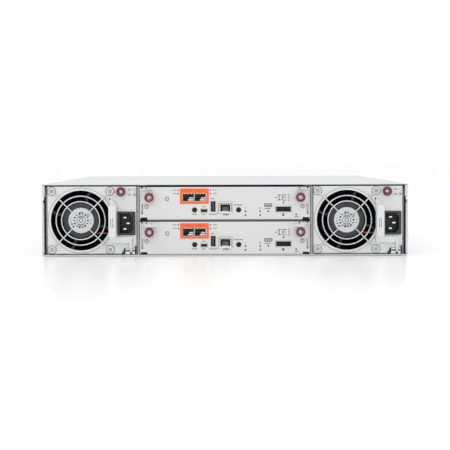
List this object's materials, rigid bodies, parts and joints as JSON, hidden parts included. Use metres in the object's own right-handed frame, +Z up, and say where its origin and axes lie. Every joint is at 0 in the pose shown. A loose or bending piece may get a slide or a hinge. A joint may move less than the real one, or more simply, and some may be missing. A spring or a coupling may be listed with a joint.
{
  "type": "disk shelf enclosure",
  "caption": "Rack-mounted disk shelf enclosure with fan-cooled power modules, controller modules with latch levers, and disk carriers that slide in from the far side.",
  "frame": {"origin": "under the middle of the whole object, on the surface that it stands on", "axes": "+Z up, -Y towards the service side with the fans and ports, +Y towards the disk side, +X right when facing the service side"},
  "size_m": [0.4826, 0.6242, 0.088],
  "materials": {
    "zinc_steel": "galvanised sheet, satin",
    "cover_steel": "galvanised sheet, satin",
    "face_steel": "fine satin sheet",
    "lever_steel": "satin",
    "circuit_board": "solder mask",
    "connector_plastic": "moulded",
    "port_metal": "nickel plated",
    "fan_plastic": "moulded, glass filled",
    "rotor_plastic": "moulded",
    "guard_wire": "bright plated wire",
    "inlet_plastic": "moulded",
    "thumbscrew_finish": "coloured knurled ring",
    "disk_carrier_metal": "dark front on a die-cast carrier",
    "carrier_lever_plastic": "moulded"
  },
  "bodies": {
    "chassis": {"bay_frame": "zinc_steel", "chassis_base": "zinc_steel", "disk_guides": "zinc_steel", "midplane_board": "circuit_board", "midplane_connectors": "connector_plastic", "rack_ears": "zinc_steel", "top_cover": "cover_steel"},
    "power_a": {"power_a_case": "face_steel", "power_a_fan_frame": "fan_plastic", "power_a_fan_guard": "guard_wire", "power_a_mains_inlet": "inlet_plastic"},
    "power_a_latch": {"power_a_lever": "lever_steel"},
    "power_a_rotor": {"power_a_fan_rotor": "rotor_plastic"},
    "power_a_screw": {"power_a_thumbscrew": "thumbscrew_finish"},
    "power_b": {"power_b_case": "face_steel", "power_b_fan_frame": "fan_plastic", "power_b_fan_guard": "guard_wire", "power_b_mains_inlet": "inlet_plastic"},
    "power_b_latch": {"power_b_lever": "lever_steel"},
    "power_b_rotor": {"power_b_fan_rotor": "rotor_plastic"},
    "power_b_screw": {"power_b_thumbscrew": "thumbscrew_finish"},
    "controller_a": {"controller_a_tray": "face_steel", "controller_a_board": "circuit_board", "controller_a_ports": "port_metal"},
    "controller_a_latch_left": {"controller_a_lever_left": "lever_steel"},
    "controller_a_screw_left": {"controller_a_thumbscrew_left": "thumbscrew_finish"},
    "controller_a_latch_right": {"controller_a_lever_right": "lever_steel"},
    "controller_a_screw_right": {"controller_a_thumbscrew_right": "thumbscrew_finish"},
    "controller_b": {"controller_b_tray": "face_steel", "controller_b_board": "circuit_board", "controller_b_ports": "port_metal"},
    "controller_b_latch_left": {"controller_b_lever_left": "lever_steel"},
    "controller_b_screw_left": {"controller_b_thumbscrew_left": "thumbscrew_finish"},
    "controller_b_latch_right": {"controller_b_lever_right": "lever_steel"},
    "controller_b_screw_right": {"controller_b_thumbscrew_right": "thumbscrew_finish"},
    "disk_01": {"disk_01_carrier": "disk_carrier_metal"},
    "disk_01_latch": {"disk_01_lever": "carrier_lever_plastic"},
    "disk_02": {"disk_02_carrier": "disk_carrier_metal"},
    "disk_02_latch": {"disk_02_lever": "carrier_lever_plastic"},
    "disk_03": {"disk_03_carrier": "disk_carrier_metal"},
    "disk_03_latch": {"disk_03_lever": "carrier_lever_plastic"},
    "disk_04": {"disk_04_carrier": "disk_carrier_metal"},
    "disk_04_latch": {"disk_04_lever": "carrier_lever_plastic"},
    "disk_05": {"disk_05_carrier": "disk_carrier_metal"},
    "disk_05_latch": {"disk_05_lever": "carrier_lever_plastic"},
    "disk_06": {"disk_06_carrier": "disk_carrier_metal"},
    "disk_06_latch": {"disk_06_lever": "carrier_lever_plastic"},
    "disk_07": {"disk_07_carrier": "disk_carrier_metal"},
    "disk_07_latch": {"disk_07_lever": "carrier_lever_plastic"},
    "disk_08": {"disk_08_carrier": "disk_carrier_metal"},
    "disk_08_latch": {"disk_08_lever": "carrier_lever_plastic"},
    "disk_09": {"disk_09_carrier": "disk_carrier_metal"},
    "disk_09_latch": {"disk_09_lever": "carrier_lever_plastic"},
    "disk_10": {"disk_10_carrier": "disk_carrier_metal"},
    "disk_10_latch": {"disk_10_lever": "carrier_lever_plastic"},
    "disk_11": {"disk_11_carrier": "disk_carrier_metal"},
    "disk_11_latch": {"disk_11_lever": "carrier_lever_plastic"},
    "disk_12": {"disk_12_carrier": "disk_carrier_metal"},
    "disk_12_latch": {"disk_12_lever": "carrier_lever_plastic"}
  },
  "joints": [
    {"name": "power_a_slide", "type": "slide", "parent": "chassis", "child": "power_a", "axis": [0, -1, 0], "range_m": [0, 0.3]},
    {"name": "power_a_lever_pivot", "type": "hinge", "parent": "power_a", "child": "power_a_latch", "pos_m": [-0.1147, -0.2931, 0.0066], "axis": [1, 0, 0], "range_deg": [0, 50]},
    {"name": "power_a_fan_spin", "type": "hinge", "parent": "power_a", "child": "power_a_rotor", "pos_m": [-0.1759, -0.2746, 0.0436], "axis": [0, 1, 0], "continuous": true},
    {"name": "power_a_screw_turn", "type": "hinge", "parent": "power_a", "child": "power_a_screw", "pos_m": [-0.1268, -0.2946, 0.0787], "axis": [0, -1, 0], "continuous": true},
    {"name": "power_b_slide", "type": "slide", "parent": "chassis", "child": "power_b", "axis": [0, -1, 0], "range_m": [0, 0.3]},
    {"name": "power_b_lever_pivot", "type": "hinge", "parent": "power_b", "child": "power_b_latch", "pos_m": [0.2101, -0.2931, 0.0066], "axis": [1, 0, 0], "range_deg": [0, 50]},
    {"name": "power_b_fan_spin", "type": "hinge", "parent": "power_b", "child": "power_b_rotor", "pos_m": [0.1489, -0.2746, 0.0436], "axis": [0, 1, 0], "continuous": true},
    {"name": "power_b_screw_turn", "type": "hinge", "parent": "power_b", "child": "power_b_screw", "pos_m": [0.198, -0.2946, 0.0787], "axis": [0, -1, 0], "continuous": true},
    {"name": "controller_a_slide", "type": "slide", "parent": "chassis", "child": "controller_a", "axis": [0, -1, 0], "range_m": [0, 0.3]},
    {"name": "controller_a_lever_pivot_left", "type": "hinge", "parent": "controller_a", "child": "controller_a_latch_left", "pos_m": [-0.1013, -0.2914, 0.054], "axis": [1, 0, 0], "range_deg": [0, 70]},
    {"name": "controller_a_screw_turn_left", "type": "hinge", "parent": "controller_a_latch_left", "child": "controller_a_screw_left", "pos_m": [-0.0923, -0.2946, 0.0715], "axis": [0, -1, 0], "continuous": true},
    {"name": "controller_a_lever_pivot_right", "type": "hinge", "parent": "controller_a", "child": "controller_a_latch_right", "pos_m": [0.1013, -0.2914, 0.054], "axis": [1, 0, 0], "range_deg": [0, 70]},
    {"name": "controller_a_screw_turn_right", "type": "hinge", "parent": "controller_a_latch_right", "child": "controller_a_screw_right", "pos_m": [0.0923, -0.2946, 0.0715], "axis": [0, -1, 0], "continuous": true},
    {"name": "controller_b_slide", "type": "slide", "parent": "chassis", "child": "controller_b", "axis": [0, -1, 0], "range_m": [0, 0.3]},
    {"name": "controller_b_lever_pivot_left", "type": "hinge", "parent": "controller_b", "child": "controller_b_latch_left", "pos_m": [-0.1013, -0.2914, 0.01155], "axis": [1, 0, 0], "range_deg": [0, 70]},
    {"name": "controller_b_screw_turn_left", "type": "hinge", "parent": "controller_b_latch_left", "child": "controller_b_screw_left", "pos_m": [-0.0923, -0.2946, 0.02905], "axis": [0, -1, 0], "continuous": true},
    {"name": "controller_b_lever_pivot_right", "type": "hinge", "parent": "controller_b", "child": "controller_b_latch_right", "pos_m": [0.1013, -0.2914, 0.01155], "axis": [1, 0, 0], "range_deg": [0, 70]},
    {"name": "controller_b_screw_turn_right", "type": "hinge", "parent": "controller_b_latch_right", "child": "controller_b_screw_right", "pos_m": [0.0923, -0.2946, 0.02905], "axis": [0, -1, 0], "continuous": true},
    {"name": "disk_01_slide", "type": "slide", "parent": "chassis", "child": "disk_01", "axis": [0, 1, 0], "range_m": [0, 0.17]},
    {"name": "disk_01_lever_pivot", "type": "hinge", "parent": "disk_01", "child": "disk_01_latch", "pos_m": [-0.1174, 0.3085, 0.02145], "axis": [0, 0, -1], "range_deg": [0, 60]},
    {"name": "disk_02_slide", "type": "slide", "parent": "chassis", "child": "disk_02", "axis": [0, 1, 0], "range_m": [0, 0.17]},
    {"name": "disk_02_lever_pivot", "type": "hinge", "parent": "disk_02", "child": "disk_02_latch", "pos_m": [-0.00735, 0.3085, 0.02145], "axis": [0, 0, -1], "range_deg": [0, 60]},
    {"name": "disk_03_slide", "type": "slide", "parent": "chassis", "child": "disk_03", "axis": [0, 1, 0], "range_m": [0, 0.17]},
    {"name": "disk_03_lever_pivot", "type": "hinge", "parent": "disk_03", "child": "disk_03_latch", "pos_m": [0.1027, 0.3085, 0.02145], "axis": [0, 0, -1], "range_deg": [0, 60]},
    {"name": "disk_04_slide", "type": "slide", "parent": "chassis", "child": "disk_04", "axis": [0, 1, 0], "range_m": [0, 0.17]},
    {"name": "disk_04_lever_pivot", "type": "hinge", "parent": "disk_04", "child": "disk_04_latch", "pos_m": [0.21275, 0.3085, 0.02145], "axis": [0, 0, -1], "range_deg": [0, 60]},
    {"name": "disk_05_slide", "type": "slide", "parent": "chassis", "child": "disk_05", "axis": [0, 1, 0], "range_m": [0, 0.17]},
    {"name": "disk_05_lever_pivot", "type": "hinge", "parent": "disk_05", "child": "disk_05_latch", "pos_m": [-0.1174, 0.3085, 0.04965], "axis": [0, 0, -1], "range_deg": [0, 60]},
    {"name": "disk_06_slide", "type": "slide", "parent": "chassis", "child": "disk_06", "axis": [0, 1, 0], "range_m": [0, 0.17]},
    {"name": "disk_06_lever_pivot", "type": "hinge", "parent": "disk_06", "child": "disk_06_latch", "pos_m": [-0.00735, 0.3085, 0.04965], "axis": [0, 0, -1], "range_deg": [0, 60]},
    {"name": "disk_07_slide", "type": "slide", "parent": "chassis", "child": "disk_07", "axis": [0, 1, 0], "range_m": [0, 0.17]},
    {"name": "disk_07_lever_pivot", "type": "hinge", "parent": "disk_07", "child": "disk_07_latch", "pos_m": [0.1027, 0.3085, 0.04965], "axis": [0, 0, -1], "range_deg": [0, 60]},
    {"name": "disk_08_slide", "type": "slide", "parent": "chassis", "child": "disk_08", "axis": [0, 1, 0], "range_m": [0, 0.17]},
    {"name": "disk_08_lever_pivot", "type": "hinge", "parent": "disk_08", "child": "disk_08_latch", "pos_m": [0.21275, 0.3085, 0.04965], "axis": [0, 0, -1], "range_deg": [0, 60]},
    {"name": "disk_09_slide", "type": "slide", "parent": "chassis", "child": "disk_09", "axis": [0, 1, 0], "range_m": [0, 0.17]},
    {"name": "disk_09_lever_pivot", "type": "hinge", "parent": "disk_09", "child": "disk_09_latch", "pos_m": [-0.1174, 0.3085, 0.07785], "axis": [0, 0, -1], "range_deg": [0, 60]},
    {"name": "disk_10_slide", "type": "slide", "parent": "chassis", "child": "disk_10", "axis": [0, 1, 0], "range_m": [0, 0.17]},
    {"name": "disk_10_lever_pivot", "type": "hinge", "parent": "disk_10", "child": "disk_10_latch", "pos_m": [-0.00735, 0.3085, 0.07785], "axis": [0, 0, -1], "range_deg": [0, 60]},
    {"name": "disk_11_slide", "type": "slide", "parent": "chassis", "child": "disk_11", "axis": [0, 1, 0], "range_m": [0, 0.17]},
    {"name": "disk_11_lever_pivot", "type": "hinge", "parent": "disk_11", "child": "disk_11_latch", "pos_m": [0.1027, 0.3085, 0.07785], "axis": [0, 0, -1], "range_deg": [0, 60]},
    {"name": "disk_12_slide", "type": "slide", "parent": "chassis", "child": "disk_12", "axis": [0, 1, 0], "range_m": [0, 0.17]},
    {"name": "disk_12_lever_pivot", "type": "hinge", "parent": "disk_12", "child": "disk_12_latch", "pos_m": [0.21275, 0.3085, 0.07785], "axis": [0, 0, -1], "range_deg": [0, 60]}
  ]
}
